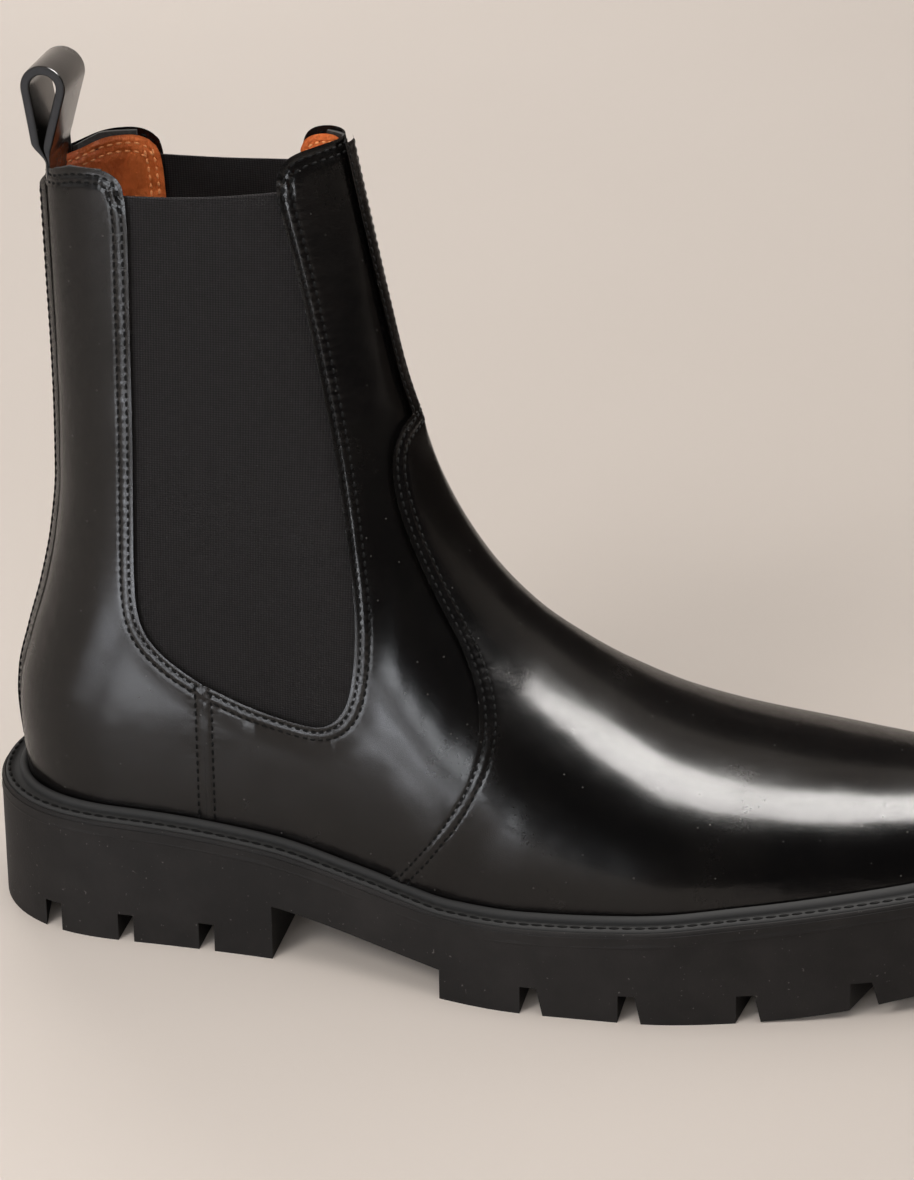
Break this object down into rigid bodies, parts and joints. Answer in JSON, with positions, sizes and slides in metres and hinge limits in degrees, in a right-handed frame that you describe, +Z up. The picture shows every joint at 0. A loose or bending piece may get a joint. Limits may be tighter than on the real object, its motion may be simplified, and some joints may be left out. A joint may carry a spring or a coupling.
{
  "type": "chelsea boot",
  "caption": "Right-foot ankle boot with elastic side panels, a leather upper and lining, a heel pull loop, a stitched welt and a cleated rubber sole with a low heel.",
  "frame": {"origin": "on the ground, under the middle of the boot's overall length and width", "axes": "+X from heel to toe, +Z up, -Y towards the outer (lateral) side of this right-foot boot"},
  "size_m": [0.3, 0.1108, 0.2387],
  "materials": {
    "black_leather": "polished smooth black calf leather with a fine grain",
    "elastic": "matte charcoal ribbed elastic webbing",
    "stiffener_board": "pressed leatherboard",
    "backing_cloth": "plain woven cotton, dyed black",
    "lining_leather": "soft tan brown lining leather",
    "insole_board": "plain vegetable tanned insole leather",
    "insole_rib": "stiffened canvas rib",
    "cork": "granular cork filler",
    "steel": "tempered spring steel strip",
    "welt_rubber": "semi-gloss black moulded welt",
    "sole_rubber": "matte black moulded rubber"
  },
  "bodies": {
    "boot": {"vamp": "black_leather", "front_quarter_lateral": "black_leather", "front_quarter_medial": "black_leather", "back_quarter_lateral": "black_leather", "back_quarter_medial": "black_leather", "front_strip": "black_leather", "backstay": "black_leather", "gore_lateral": "elastic", "gore_medial": "elastic", "toe_puff": "stiffener_board", "heel_counter": "stiffener_board", "back_interlining": "backing_cloth", "quarter_interlining": "backing_cloth", "vamp_interlining": "backing_cloth", "vamp_lining": "lining_leather", "front_lining": "lining_leather", "back_lining": "lining_leather", "sock_lining": "lining_leather", "insole_board": "insole_board", "insole_rib": "insole_rib", "cork_filler": "cork", "shank": "steel", "welt": "welt_rubber", "outsole": "sole_rubber", "pull_loop_tails": "black_leather"},
    "loop": {"pull_loop": "black_leather"}
  },
  "joints": [
    {"name": "pull_loop_tilt", "type": "hinge", "parent": "boot", "child": "loop", "pos_m": [-0.12899, 0, 0.2119], "axis": [0, 1, 0], "range_deg": [-50, 50], "stiffness_Nm_per_rad": 0.02}
  ]
}
